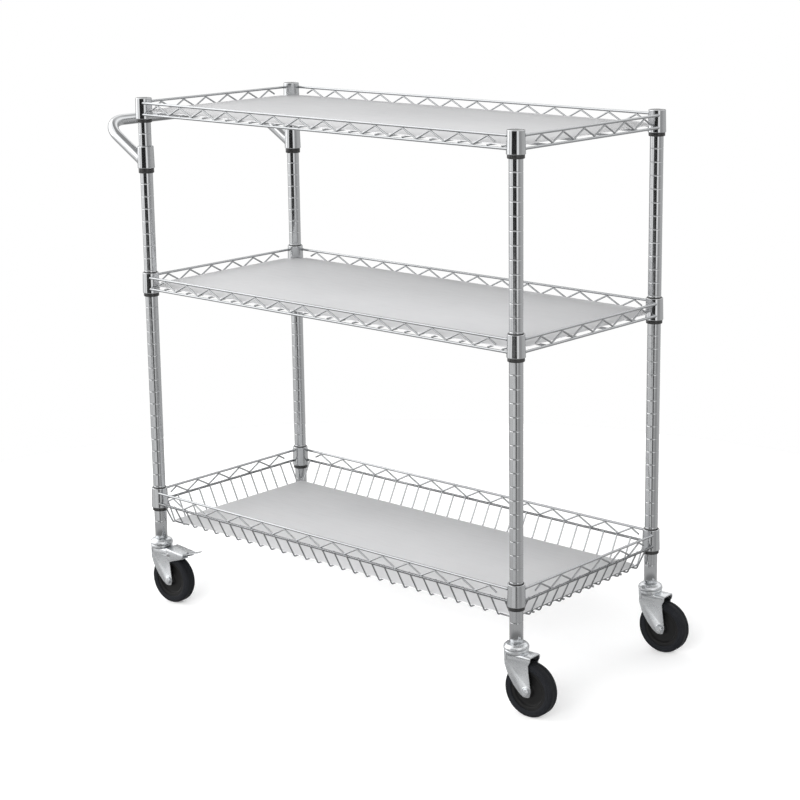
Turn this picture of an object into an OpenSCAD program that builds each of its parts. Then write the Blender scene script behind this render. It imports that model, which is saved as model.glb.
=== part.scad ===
// Three-tier wire cart on swivel casters: two flat shelves over a deeper wire basket,
// clamped to four grooved posts by tapered split sleeves, with a push handle at the -X end.
// The cart stands on z = 0 with its box centred on the Z axis. +X points away from the
// handle and -Y is the front. Millimetres.

/* [Overall] */
// Distance between post axes along the cart
post_span_x = 960; // [760:10:1160]
// Distance between post axes across the cart
post_span_y = 417; // [357:5:477]
// Height of the top shelf collars and the post caps above the floor
top_height = 1057; // [1000:1:1150]
// Post groove steps from the top shelf down to the middle shelf
middle_steps = 14; // [12:1:15]
// Post groove steps from the middle shelf down to the basket shelf
basket_steps = 18; // [16:1:18]

/* [Posts] */
// Outer diameter of a post
post_d = 25.4; // [25:0.1:26]
// Wall thickness of a post
post_wall = 1.2; // [1:0.1:1.8]
// Distance between the rings of grooves
groove_pitch = 25.4; // [25.4:0.1:25.5]
// Distance from the top of a post to its first groove
first_groove = 20.6; // [20:0.1:22]
// Depth of a groove
groove_depth = 0.5; // [0.3:0.05:0.6]

/* [Collars and sleeves] */
// Height of a shelf collar
collar_h = 42; // [40:0.5:46]
// Outer diameter of a collar at its top
collar_top_d = 32.4; // [32:0.1:34]
// Outer diameter of a collar at its bottom
collar_bottom_d = 34.4; // [34.2:0.1:36]
// Height of the sleeve rim below a shelf collar
sleeve_rim_h = 7; // [5:0.5:9]
// Width of the slits that split each sleeve
sleeve_slit = 0.8; // [0.6:0.1:1.5]

/* [Wire shelves] */
// Diameter of the rim wires
rim_wire_d = 5; // [4:0.1:6]
// Diameter of the zigzag wire
zigzag_wire_d = 3.4; // [3:0.1:4]
// Diameter of the deck and basket wires
deck_wire_d = 3.2; // [2.8:0.1:4]
// Diameter of the wires that support the deck lengthways
support_wire_d = 4.4; // [4:0.1:5]
// Distance from a post axis out to the rim wires
rim_offset = 11; // [9:0.5:12]
// Drop from the collar top to the upper rim wire
upper_rim_drop = 9.5; // [8:0.5:11]
// Drop from the collar top to the lower rim wire
lower_rim_drop = 32.5; // [31:0.5:34]
// Zigzag peaks along a long side
long_peaks = 14; // [10:2:18]
// Zigzag peaks along a short side
short_peaks = 6; // [4:2:8]
// Thickness of the shelf liners
liner_t = 1.5; // [1.2:0.1:2.5]

/* [Basket] */
// Drop from the collar top to the basket floor wires
basket_drop = 75; // [65:1:78]
// How far the basket sides lean in from rim to floor
basket_lean = 26; // [15:1:30]

/* [Handle] */
// Diameter of the handle tube
handle_d = 22; // [19:0.5:24]
// Reach of the grip outward from the post axes
handle_reach = 128; // [110:1:150]
// Rise of the handle arms from level
handle_angle = 31.2; // [25:0.2:35]
// Bend radius of the handle corners
handle_bend = 52; // [45:1:70]
// Height of a handle collar
handle_collar_h = 44; // [42:1:48]

/* [Casters] */
// Diameter of the wheels
wheel_d = 101.6; // [98:0.1:101.6]
// Width of the tyres
tyre_w = 26; // [22:0.5:26.5]
// Distance from the swivel axis to the axle
trail = 32.4; // [28:0.2:34]
// Direction that the wheels trail in at rest, from +X towards +Y
caster_angle = 4; // [0:1:10]

/* [Hidden] */
$fn = 48;

chrome = [0.86, 0.87, 0.88];
zinc = [0.70, 0.73, 0.76];
liner_grey = [0.80, 0.80, 0.81];
black_plastic = [0.08, 0.08, 0.09];
tyre_black = [0.13, 0.13, 0.14];

// Caster sizes
wheel_r = wheel_d / 2;
tyre_shoulder = 5;
tyre_bead_r = 37;
caster_top = 134;          // the posts stand here
plate_r = 23.5;            // domed upper race plate
plate_rim_z = 123.2;
plate_under_z = 129.9;     // track of the balls under the plate
stem_r = 5;
stem_top = 170;
leg_in = 14.5;             // half the gap between the fork legs
leg_t = 2.5;
crown_z = 113.5;
crown_end = 40;            // trailing end of the fork crown
crown_w = 2 * (leg_in + leg_t);
race_r = 22.6;             // dome of the fork, under the plate
race_z = 124.7;            // track of the balls on the fork
axle_r = 4;
axle_end = leg_in + leg_t + 5.5;
spacer_r = 6;
ball_r = 2.4;
ball_circle_r = 15;
ball_count = 10;
fit_gap = 0.05;            // radial clearance of a running fit

// Brake, in the side view of a caster: along the trail and up
brake_pin = [36, 106.2];
brake_pin_r = 2.4;
brake_plate_t = 1.6;

// Levels
middle_height = top_height - middle_steps * groove_pitch;
basket_height = middle_height - basket_steps * groove_pitch;
cap_t = 1.5;
handle_grip_drop = 25;     // from the top of a handle collar to the groove that its sleeves grip
handle_top = top_height - first_groove - 4 * groove_pitch + handle_grip_drop;
handle_rim_h = 10;         // height of the sleeve rim below a handle collar
handle_pivot_drop = 134;   // where the arm lines meet the post axes, below the top
handle_wall = 1.5;
weld_depth = 0.6;          // how far a wire or tube sinks into the collar it is welded to

// The box is centred on the origin: the handle reaches one way, the trailing wheels the other
tyre_reach = (wheel_r - tyre_shoulder) * cos(caster_angle)
    + (tyre_w / 2 - tyre_shoulder) * sin(caster_angle) + tyre_shoulder;
x_reach = post_span_x / 2 + trail * cos(caster_angle) + tyre_reach;
x_handle = post_span_x / 2 + handle_reach + handle_d / 2;
centre_x = (x_handle - x_reach) / 2;
centre_y = -trail * sin(caster_angle);
half_x = post_span_x / 2;
half_y = post_span_y / 2;
rim_x = half_x + rim_offset;
rim_y = half_y + rim_offset;

FRONT_LEFT = [-1, -1];
FRONT_RIGHT = [1, -1];
BACK_LEFT = [-1, 1];
BACK_RIGHT = [1, 1];
CORNERS = [FRONT_LEFT, FRONT_RIGHT, BACK_LEFT, BACK_RIGHT];

// Deck wires stand at every peak and every foot of the zigzag
long_pitch = 2 * half_x / (long_peaks + 0.66);
short_pitch = 2 * half_y / (short_peaks + 0.87);
sleeve_top_r = post_d / 2 + 1.3;
sleeve_bottom_r = post_d / 2 + 2.5;
sleeve_sunk = -0.3;        // where a sleeve ends, up from its collar top
sleeve_proud = 1.8;
deck_z = -lower_rim_drop + (rim_wire_d + deck_wire_d) / 2 - 0.4;
liner_gap = 0.05;
liner_inset = 6;           // from the rim wires in to the edge of a flat liner
liner_cut = 36;
basket_liner_inset = 5;
basket_liner_cut = 6;

// Feet of the basket's side wires
foot_x = rim_x - basket_lean;
foot_y = rim_y - basket_lean;
foot_lap = 0.8;
end_foot_drop = basket_drop + deck_wire_d - 0.2;   // end wires pass just under the cross wires

module at_centre() {
    translate([centre_x, centre_y, 0]) children();
}

module at_post(corner) {
    translate([centre_x + corner[0] * half_x, centre_y + corner[1] * half_y, 0]) children();
}

module at_caster(corner) {
    at_post(corner) rotate([0, 0, caster_angle]) children();
}

// Turns the side view of a caster, drawn as x along the trail and y up, to stand across it
module across(from, to) {
    translate([0, to, 0]) rotate([90, 0, 0]) linear_extrude(to - from) children();
}

module rod(from, to, d) {
    run = to - from;
    length = norm(run);
    translate(from)
        rotate([0, acos(run[2] / length), atan2(run[1], run[0])])
            cylinder(h = length, d = d, $fn = 24);
}

// ---- posts ----

function groove(z, r) = [
    [r, z - 1.3], [r - groove_depth, z - 0.8], [r - groove_depth, z + 0.8], [r, z + 1.3]];

module post(corner) {
    r = post_d / 2;
    top = top_height - cap_t;
    grooves = floor((top - caster_top - first_groove) / groove_pitch);
    outer = [for (i = [grooves : -1 : 0]) each groove(top_height - first_groove - i * groove_pitch, r)];
    at_post(corner) rotate_extrude()
        polygon(concat([[r - post_wall, caster_top], [r, caster_top]], outer,
            [[r, top], [r - post_wall, top]]));
}

module front_left_post() {
    color(chrome) post(FRONT_LEFT);
}

module front_right_post() {
    color(chrome) post(FRONT_RIGHT);
}

module back_left_post() {
    color(chrome) post(BACK_LEFT);
}

module back_right_post() {
    color(chrome) post(BACK_RIGHT);
}

module post_caps() {
    bore = post_d / 2 - post_wall;
    color(chrome) for (corner = CORNERS) at_post(corner) translate([0, 0, top_height]) rotate_extrude()
        polygon([[0, 0], [post_d / 2 - 0.6, 0], [post_d / 2, -0.6], [post_d / 2, -cap_t],
            [bore, -cap_t], [bore, -10], [bore - 1.5, -10], [bore - 1.5, -cap_t], [0, -cap_t]]);
}

module stem_sockets() {
    bore = post_d / 2 - post_wall;
    color(black_plastic) for (corner = CORNERS) at_post(corner) rotate_extrude()
        polygon([[stem_r, caster_top], [bore, caster_top], [bore, caster_top + 28],
            [bore - 1, caster_top + 30], [stem_r, caster_top + 30]]);
}

// ---- collars and split sleeves ----

// Taper of the sleeve outside, which is also the bore of the collar, from the collar top down
module collar(height) {
    rotate_extrude() polygon([[sleeve_top_r, 0], [collar_top_d / 2 - 0.8, 0], [collar_top_d / 2, -0.8],
        [collar_bottom_d / 2, -height + 0.8], [collar_bottom_d / 2 - 0.8, -height],
        [sleeve_bottom_r, -height]]);
}

module sleeve(height, rim, lip, groove_drop) {
    r = post_d / 2;
    rim_r = collar_bottom_d / 2 - 1.6;
    difference() {
        rotate_extrude() polygon([[r, lip], [r, -groove_drop + 1], [r - 0.35, -groove_drop + 0.6],
            [r - 0.35, -groove_drop - 0.6], [r, -groove_drop - 1], [r, -height - rim],
            [rim_r - 1, -height - rim], [rim_r, -height - rim + 1], [rim_r, -height - 0.05],
            [sleeve_bottom_r - 0.05, -height - 0.05], [sleeve_top_r - 0.05, 0], [sleeve_top_r - 0.05, lip]]);
        translate([-sleeve_slit / 2, -rim_r - 1, -height - rim - 1])
            cube([sleeve_slit, 2 * rim_r + 2, height + rim + lip + 2]);
    }
}

module shelf_collars(level) {
    color(chrome) for (corner = CORNERS) at_post(corner) translate([0, 0, level]) collar(collar_h);
}

module shelf_sleeves(level, lip) {
    color(black_plastic) for (corner = CORNERS) at_post(corner) translate([0, 0, level])
        sleeve(collar_h, sleeve_rim_h, lip, first_groove);
}

module top_collars() {
    shelf_collars(top_height);
}

module middle_collars() {
    shelf_collars(middle_height);
}

module basket_collars() {
    shelf_collars(basket_height);
}

module top_sleeves() {
    shelf_sleeves(top_height, sleeve_sunk);
}

module middle_sleeves() {
    shelf_sleeves(middle_height, sleeve_proud);
}

module basket_sleeves() {
    shelf_sleeves(basket_height, sleeve_proud);
}

// ---- rims: two wires with a zigzag between, drawn along X and ending in the collars ----

module zigzag(peaks, pitch) {
    high = -upper_rim_drop;
    low = -lower_rim_drop;
    last = (peaks - 1) / 2 * pitch;
    for (i = [0 : peaks - 2]) {
        x = -last + i * pitch;
        rod([x, 0, high], [x + pitch / 2, 0, low], zigzag_wire_d);
        rod([x + pitch / 2, 0, low], [x + pitch, 0, high], zigzag_wire_d);
    }
    for (side = [-1, 1])
        rod([side * last, 0, high],
            [side * (last + 0.27 * pitch), 0, high - 0.54 * (high - low)], zigzag_wire_d);
}

// Cuts a rim where it meets the two collars of its side, which it is welded to
module trim_to_collars(half_length) {
    difference() {
        children();
        for (side = [-1, 1]) translate([side * half_length, rim_offset, -60])
            cylinder(h = 80, r = collar_top_d / 2 - weld_depth);
    }
}

module upper_rim(half_length, peaks, pitch) {
    rod([-half_length, 0, -upper_rim_drop], [half_length, 0, -upper_rim_drop], rim_wire_d);
    zigzag(peaks, pitch);
}

module lower_rim(half_length) {
    rod([-half_length, 0, -lower_rim_drop], [half_length, 0, -lower_rim_drop], rim_wire_d);
}

module on_long_sides(level) {
    at_centre() for (turn = [0, 180]) rotate([0, 0, turn]) translate([0, -rim_y, level]) children();
}

module on_short_sides(level) {
    at_centre() for (turn = [90, 270]) rotate([0, 0, turn]) translate([0, -rim_x, level]) children();
}

module long_truss() {
    trim_to_collars(half_x) {
        upper_rim(half_x, long_peaks, long_pitch);
        lower_rim(half_x);
    }
}

module short_truss() {
    trim_to_collars(half_y) {
        upper_rim(half_y, short_peaks, short_pitch);
        lower_rim(half_y);
    }
}

module top_long_trusses() {
    color(chrome) on_long_sides(top_height) long_truss();
}

module top_short_trusses() {
    color(chrome) on_short_sides(top_height) short_truss();
}

module middle_long_trusses() {
    color(chrome) on_long_sides(middle_height) long_truss();
}

module middle_short_trusses() {
    color(chrome) on_short_sides(middle_height) short_truss();
}

module basket_long_trusses() {
    color(chrome) on_long_sides(basket_height) trim_to_collars(half_x)
        upper_rim(half_x, long_peaks, long_pitch);
}

module basket_short_trusses() {
    color(chrome) on_short_sides(basket_height) trim_to_collars(half_y)
        upper_rim(half_y, short_peaks, short_pitch);
}

// ---- decks and liners ----

// Cross wires at every half pitch, on four wires that run the length of the shelf
module deck(level, half_width, half_length, z) {
    support_z = z - (deck_wire_d + support_wire_d) / 2 + 0.4;
    at_centre() translate([0, 0, level]) {
        for (i = [-long_peaks : long_peaks])
            rod([i * long_pitch / 2, -half_width, z], [i * long_pitch / 2, half_width, z], deck_wire_d);
        for (y = [-0.65, -0.22, 0.22, 0.65] * half_y)
            rod([-half_length, y, support_z], [half_length, y, support_z], support_wire_d);
    }
}

module flat_deck(level) {
    deck(level, rim_y, rim_x, deck_z);
}

module top_deck() {
    color(chrome) flat_deck(top_height);
}

module middle_deck() {
    color(chrome) flat_deck(middle_height);
}

// A sheet with its corners cut off to clear the posts
module liner(level, x, y, cut, z) {
    at_centre() translate([0, 0, level + z + deck_wire_d / 2 + liner_gap]) linear_extrude(liner_t)
        polygon([[-x + cut, -y], [x - cut, -y], [x, -y + cut], [x, y - cut],
            [x - cut, y], [-x + cut, y], [-x, y - cut], [-x, -y + cut]]);
}

module flat_liner(level) {
    liner(level, rim_x - liner_inset, rim_y - liner_inset, liner_cut, deck_z);
}

module top_liner() {
    color(liner_grey) flat_liner(top_height);
}

module middle_liner() {
    color(liner_grey) flat_liner(middle_height);
}

// ---- basket ----

module basket_side(half_length, count, pitch, drop) {
    trim_to_collars(half_length) lower_rim(half_length);
    for (i = [-count : count]) translate([i * pitch / 2, 0, 0])
        rod([0, 0, -lower_rim_drop], [0, basket_lean, -drop], deck_wire_d);
}

module basket_long_sides() {
    color(chrome) on_long_sides(basket_height)
        basket_side(half_x, long_peaks, long_pitch, basket_drop);
}

module basket_short_sides() {
    color(chrome) on_short_sides(basket_height)
        basket_side(half_y, short_peaks, short_pitch, end_foot_drop);
}

// The end wires run in under the last two cross wires
module basket_deck() {
    inner_x = (long_peaks - 1) * long_pitch / 2 - 4;
    color(chrome) {
        deck(basket_height, foot_y + foot_lap, foot_x - 2, -basket_drop);
        at_centre() for (side = [-1, 1]) for (i = [-short_peaks : short_peaks])
            translate([0, i * short_pitch / 2, basket_height - end_foot_drop])
                rod([side * inner_x, 0, 0], [side * (foot_x + foot_lap), 0, 0], deck_wire_d);
    }
}

module basket_liner() {
    color(liner_grey) liner(basket_height, foot_x - basket_liner_inset, foot_y - basket_liner_inset,
        basket_liner_cut, -basket_drop);
}

// ---- handle: a bent tube in a tilted plane, between collars on the two left posts ----

// The arms, corners and grip of the handle at one diameter. The straight runs are a hair
// thinner than the corners and reach a little way into them.
module handle_path(d) {
    reach = handle_reach / cos(handle_angle);
    thin = d - 0.2;
    lap = 1.5;
    for (side = [-1, 1]) {
        translate([-reach + handle_bend - lap, side * half_y, 0]) rotate([0, 90, 0])
            cylinder(h = reach - handle_bend + lap, d = thin);
        translate([-reach + handle_bend, side * (half_y - handle_bend), 0])
            rotate([0, 0, side > 0 ? 90 : 180]) rotate_extrude(angle = 90)
                translate([handle_bend, 0]) circle(d = d);
    }
    translate([-reach, half_y - handle_bend + lap, 0]) rotate([90, 0, 0])
        cylinder(h = 2 * (half_y - handle_bend + lap), d = thin);
}

module handle_tube() {
    color(chrome) difference() {
        translate([centre_x - half_x, centre_y, top_height - handle_pivot_drop])
            rotate([0, handle_angle, 0]) difference() {
                handle_path(handle_d);
                handle_path(handle_d - 2 * handle_wall);
            }
        for (corner = [FRONT_LEFT, BACK_LEFT]) at_post(corner)
            translate([0, 0, handle_top - 2 * handle_collar_h])
                cylinder(h = 3 * handle_collar_h, r = collar_top_d / 2 - weld_depth);
    }
}

module handle_collars() {
    color(chrome) for (corner = [FRONT_LEFT, BACK_LEFT]) at_post(corner)
        translate([0, 0, handle_top]) collar(handle_collar_h);
}

module handle_sleeves() {
    color(black_plastic) for (corner = [FRONT_LEFT, BACK_LEFT]) at_post(corner)
        translate([0, 0, handle_top])
            sleeve(handle_collar_h, handle_rim_h, sleeve_sunk, handle_grip_drop);
}

// ---- casters: the fixed parts, above the swivel ----

module caster_stems() {
    color(zinc) for (corner = CORNERS) at_post(corner) rotate_extrude()
        polygon([[0, crown_z - 5], [7.5, crown_z - 5], [8.5, crown_z - 4], [8.5, crown_z - 0.4],
            [stem_r, crown_z - 0.4], [stem_r, stem_top - 1.5], [stem_r - 1.5, stem_top], [0, stem_top]]);
}

module caster_plates() {
    color(zinc) for (corner = CORNERS) at_post(corner) rotate_extrude()
        polygon([[stem_r, caster_top], [15, caster_top], [19.5, caster_top - 1.6],
            [22.4, caster_top - 4.4], [plate_r, caster_top - 7.5], [plate_r, plate_rim_z],
            [plate_r - 1.6, plate_rim_z], [plate_r - 1.6, 126.6], [20, 128.6],
            [ball_circle_r + 2, plate_under_z], [stem_r, plate_under_z]]);
}

module caster_balls() {
    ball_z = plate_under_z - ball_r;
    color(zinc) for (corner = CORNERS) at_post(corner)
        for (i = [0 : ball_count - 1]) rotate([0, 0, i * 360 / ball_count])
            translate([ball_circle_r, 0, ball_z]) sphere(r = ball_r, $fn = 24);
}

// ---- casters: fork, axle and wheel ----

// Outline of a fork leg: x along the trail, y up from the floor
module leg_outline() {
    polygon([[-19, 116], [-16.5, 103], [-8, 77], [4, 59.5], [22.6, 46], [32.4, 50.8], [42.6, 52],
        [36.5, 100], [crown_end, 107], [crown_end, 116]]);
    translate([trail, wheel_r]) circle(r = 10.5);
}

// Both legs, rounded in front to follow the dome
module legs() {
    intersection() {
        union() {
            across(leg_in, leg_in + leg_t) leg_outline();
            across(-leg_in - leg_t, -leg_in) leg_outline();
        }
        linear_extrude(crown_z + leg_t) {
            circle(r = race_r);
            translate([0, -crown_w]) square([2 * crown_end, 2 * crown_w]);
        }
    }
}

module fork(corner, braked) {
    color(zinc) at_caster(corner) difference() {
        union() {
            legs();
            translate([0, 0, crown_z]) linear_extrude(leg_t) {
                circle(r = race_r - 1.6);
                translate([0, -crown_w / 2]) square([crown_end, crown_w]);
            }
            rotate_extrude() polygon([[stem_r + 1, crown_z], [race_r - 1, crown_z], [race_r - 0.8, 118],
                [race_r, 119], [race_r - 0.8, 122], [20, 122.6], [18.2, race_z], [stem_r + 1, race_z]]);
        }
        translate([0, 0, crown_z - 10]) cylinder(h = 30, r = stem_r + 0.4);
        across(-30, 30) translate([trail, wheel_r]) circle(r = axle_r);
        if (braked) across(-30, 30) translate(brake_pin) circle(r = brake_pin_r);
    }
}

module axle(corner) {
    color(zinc) at_caster(corner) {
        across(-axle_end, leg_in + leg_t) translate([trail, wheel_r]) circle(r = axle_r);
        across(-axle_end, -leg_in - leg_t) translate([trail, wheel_r]) circle(r = 7.2, $fn = 6);
        across(leg_in + leg_t, axle_end) translate([trail, wheel_r]) circle(r = 7.2, $fn = 6);
    }
}

module spacer(corner) {
    color(zinc) at_caster(corner) across(-leg_in, leg_in) translate([trail, wheel_r]) difference() {
        circle(r = spacer_r);
        circle(r = axle_r);
    }
}

// Stands a turned shape, drawn about Z, on the wheel axis
module on_axle(corner) {
    at_caster(corner) translate([trail, 0, wheel_r]) rotate([90, 0, 0]) children();
}

module hub(corner) {
    bore = spacer_r + fit_gap;
    color(black_plastic) on_axle(corner) rotate_extrude() polygon([[bore, -13.4], [11, -13.4],
        [12, -12.4], [13, -6], [29, -5], [31, -9.5], [tyre_bead_r, -10], [tyre_bead_r, 10],
        [31, 9.5], [29, 5], [13, 6], [12, 12.4], [11, 13.4], [bore, 13.4]]);
}

// Rounded edge of the tread, from the side wall to the tread for side -1, mirrored for side 1
function tread_edge(side) = [for (a = [0 : 22.5 : 90])
    [wheel_r - tyre_shoulder * (1 - sin(a)), side * (tyre_w / 2 - tyre_shoulder * (1 - cos(a)))]];

function reversed(list) = [for (i = [len(list) - 1 : -1 : 0]) list[i]];

module tyre(corner) {
    half = tyre_w / 2;
    lower = concat([[tyre_bead_r, -10], [tyre_bead_r + 1.5, 1 - half], [tyre_bead_r + 4, -half]],
        tread_edge(-1));
    upper = concat([[tyre_bead_r, 10], [tyre_bead_r + 1.5, half - 1], [tyre_bead_r + 4, half]],
        tread_edge(1));
    color(tyre_black) on_axle(corner) rotate_extrude() polygon(concat(lower, reversed(upper)));
}

module front_left_fork() {
    fork(FRONT_LEFT, true);
}

module front_right_fork() {
    fork(FRONT_RIGHT, false);
}

module back_left_fork() {
    fork(BACK_LEFT, true);
}

module back_right_fork() {
    fork(BACK_RIGHT, false);
}

module front_left_axle() {
    axle(FRONT_LEFT);
}

module front_right_axle() {
    axle(FRONT_RIGHT);
}

module back_left_axle() {
    axle(BACK_LEFT);
}

module back_right_axle() {
    axle(BACK_RIGHT);
}

module front_left_spacer() {
    spacer(FRONT_LEFT);
}

module front_right_spacer() {
    spacer(FRONT_RIGHT);
}

module back_left_spacer() {
    spacer(BACK_LEFT);
}

module back_right_spacer() {
    spacer(BACK_RIGHT);
}

module front_left_hub() {
    hub(FRONT_LEFT);
}

module front_right_hub() {
    hub(FRONT_RIGHT);
}

module back_left_hub() {
    hub(BACK_LEFT);
}

module back_right_hub() {
    hub(BACK_RIGHT);
}

module front_left_tyre() {
    tyre(FRONT_LEFT);
}

module front_right_tyre() {
    tyre(FRONT_RIGHT);
}

module back_left_tyre() {
    tyre(BACK_LEFT);
}

module back_right_tyre() {
    tyre(BACK_RIGHT);
}

// ---- brakes on the two casters at the handle end ----

// A bent lever over the wheel, with a shoe that it presses on the tyre and skirts on the pin
module brake(corner) {
    skirt_in = leg_in + leg_t + 0.4;
    skirt_out = skirt_in + brake_plate_t;
    t = brake_plate_t;
    tip_half = 8.5;
    color(zinc) at_caster(corner) {
        intersection() {
            across(-skirt_out, skirt_out)
                polygon([[29, 118.4], [80, 111.5], [112, 121.6], [111.5, 121.6 + t],
                    [79.8, 111.6 + t], [29, 118.4 + t]]);
            translate([0, 0, 90]) linear_extrude(50)
                polygon([[28, -skirt_out], [77, -skirt_out], [87, -tip_half], [113, -tip_half],
                    [113, tip_half], [87, tip_half], [77, skirt_out], [28, skirt_out]]);
        }
        for (side = [-1, 1])
            across(side > 0 ? skirt_in : -skirt_out, side > 0 ? skirt_out : -skirt_in) difference() {
                union() {
                    polygon([[30, 104], [34, 94.5], [40, 92], [50, 96], [72, 103], [77, 107.5],
                        [77, 112.6], [31, 119]]);
                    translate(brake_pin) circle(r = 6);
                }
                translate(brake_pin) circle(r = brake_pin_r + fit_gap);
            }
        across(-9, 9)
            polygon([[50, 105.6], [64, 98.4], [68, 98.4], [69, 113.8], [50, 116.4]]);
    }
}

module brake_pivot(corner) {
    end = leg_in + leg_t + brake_plate_t + 0.8;
    color(zinc) at_caster(corner) translate([brake_pin[0], 0, brake_pin[1]]) rotate([90, 0, 0]) {
        cylinder(h = 2 * end, r = brake_pin_r, center = true);
        for (side = [-1, 1]) translate([0, 0, side * (end + 0.7)])
            cylinder(h = 1.4, r = 4, center = true);
    }
}

module front_left_brake() {
    brake(FRONT_LEFT);
}

module back_left_brake() {
    brake(BACK_LEFT);
}

module front_left_brake_pin() {
    brake_pivot(FRONT_LEFT);
}

module back_left_brake_pin() {
    brake_pivot(BACK_LEFT);
}

front_left_post();
front_right_post();
back_left_post();
back_right_post();
post_caps();
stem_sockets();
top_collars();
top_sleeves();
top_long_trusses();
top_short_trusses();
top_deck();
top_liner();
middle_collars();
middle_sleeves();
middle_long_trusses();
middle_short_trusses();
middle_deck();
middle_liner();
basket_collars();
basket_sleeves();
basket_long_trusses();
basket_short_trusses();
basket_long_sides();
basket_short_sides();
basket_deck();
basket_liner();
handle_tube();
handle_collars();
handle_sleeves();
caster_stems();
caster_plates();
caster_balls();
front_left_fork();
front_left_axle();
front_left_spacer();
front_left_hub();
front_left_tyre();
front_right_fork();
front_right_axle();
front_right_spacer();
front_right_hub();
front_right_tyre();
back_left_fork();
back_left_axle();
back_left_spacer();
back_left_hub();
back_left_tyre();
back_right_fork();
back_right_axle();
back_right_spacer();
back_right_hub();
back_right_tyre();
front_left_brake();
front_left_brake_pin();
back_left_brake();
back_left_brake_pin();
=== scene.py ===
import math

import bpy
import bmesh
from mathutils import Matrix, Vector


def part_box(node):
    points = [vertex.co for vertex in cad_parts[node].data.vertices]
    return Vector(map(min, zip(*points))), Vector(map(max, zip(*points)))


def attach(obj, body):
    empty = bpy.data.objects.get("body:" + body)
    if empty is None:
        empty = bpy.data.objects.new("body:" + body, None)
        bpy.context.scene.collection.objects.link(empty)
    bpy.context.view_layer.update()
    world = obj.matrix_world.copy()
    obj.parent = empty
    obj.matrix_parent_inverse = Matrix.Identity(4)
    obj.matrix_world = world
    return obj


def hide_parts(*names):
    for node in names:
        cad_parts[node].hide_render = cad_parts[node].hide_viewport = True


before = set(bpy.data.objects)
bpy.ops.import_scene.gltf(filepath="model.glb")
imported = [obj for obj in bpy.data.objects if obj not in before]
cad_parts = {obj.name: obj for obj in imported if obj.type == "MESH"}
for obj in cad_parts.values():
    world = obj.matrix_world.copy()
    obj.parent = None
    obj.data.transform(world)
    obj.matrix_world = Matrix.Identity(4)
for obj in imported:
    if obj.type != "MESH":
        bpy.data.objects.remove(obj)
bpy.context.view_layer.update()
MM = 0.001
PLACES = ("front_left", "front_right", "back_left", "back_right")
TURN = math.radians(4)   # the casters trail along +X, turned this far towards +Y


# ---- places, from the frame ----

def middle(node):
    lo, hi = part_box(node)
    return (lo + hi) / 2


POSTS = {p: middle(p + "_post") for p in PLACES}
POST_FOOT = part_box("front_left_post")[0].z
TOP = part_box("post_caps")[1].z
LEVELS = {shelf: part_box(shelf + "_collars")[1].z for shelf in ("top", "middle", "basket")}
CENTRE = (POSTS["front_left"] + POSTS["back_right"]) / 2
HALF_X = (POSTS["front_right"].x - POSTS["front_left"].x) / 2
HALF_Y = (POSTS["back_left"].y - POSTS["front_left"].y) / 2
HANDLE_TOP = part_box("handle_collars")[1].z
WHEEL_R = 50.8 * MM
TRAIL = 32.4 * MM
AXLE_AT = (TRAIL, 0, WHEEL_R)                  # on a caster, from the foot of its swivel axis
BRAKE_PIN_AT = (36 * MM, 0, 106.2 * MM)
RIM = 11 * MM            # from the post axes out to the rim wires
UPPER = -9.5 * MM        # rim wires, from the collar tops
LOWER = -32.5 * MM
DECK = -28.8 * MM
LONG_PEAKS = 14
SHORT_PEAKS = 6
LONG_PITCH = 2 * HALF_X / (LONG_PEAKS + 0.66)
SHORT_PITCH = 2 * HALF_Y / (SHORT_PEAKS + 0.87)


# ---- shader building ----

def material(name):
    mat = bpy.data.materials.new(name)
    mat.use_nodes = True
    tree = mat.node_tree
    shader = next(n for n in tree.nodes if n.type == "BSDF_PRINCIPLED")
    return mat, tree, shader


def node(tree, kind, **values):
    made = tree.nodes.new(kind)
    for key, value in values.items():
        if key in made.inputs:
            made.inputs[key].default_value = value
        else:
            setattr(made, key, value)
    return made


def even(tone):
    """A grey for a colour socket."""
    return (tone, tone, tone, 1)


def coordinates(tree, scale=(1, 1, 1)):
    """Object coordinates, which are the frame's own metres, or a caster part's own."""
    where = node(tree, "ShaderNodeTexCoord")
    stretch = node(tree, "ShaderNodeMapping")
    stretch.inputs["Scale"].default_value = scale
    tree.links.new(where.outputs["Object"], stretch.inputs["Vector"])
    return stretch.outputs["Vector"]


def noise(tree, vector, scale, detail=3.0, roughness=0.5):
    made = node(tree, "ShaderNodeTexNoise", Scale=scale, Detail=detail, Roughness=roughness)
    tree.links.new(vector, made.inputs["Vector"])
    return made.outputs["Fac"]


def ramp(tree, source, stops):
    made = node(tree, "ShaderNodeValToRGB")
    points = made.color_ramp.elements
    while len(points) < len(stops):
        points.new(0.5)
    for point, (place, colour) in zip(points, stops):
        point.position = place
        point.color = (*colour, 1) if hasattr(colour, "__len__") else even(colour)
    tree.links.new(source, made.inputs["Fac"])
    return made.outputs["Color"]


def mixed(tree, factor, a, b, kind="MIX"):
    made = node(tree, "ShaderNodeMix", data_type="RGBA", blend_type=kind)
    for socket, value in ((0, factor), (6, a), (7, b)):
        if isinstance(value, bpy.types.NodeSocket):
            tree.links.new(value, made.inputs[socket])
        else:
            made.inputs[socket].default_value = value
    return made.outputs[2]


def bump(tree, shader, height, strength, distance, under=None):
    made = node(tree, "ShaderNodeBump", Strength=strength, Distance=distance)
    tree.links.new(height, made.inputs["Height"])
    if under is not None:
        tree.links.new(under, made.inputs["Normal"])
    tree.links.new(made.outputs["Normal"], shader.inputs["Normal"])
    return made.outputs["Normal"]


def link(tree, source, shader, socket):
    tree.links.new(source, shader.inputs[socket])


# ---- materials ----

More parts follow.
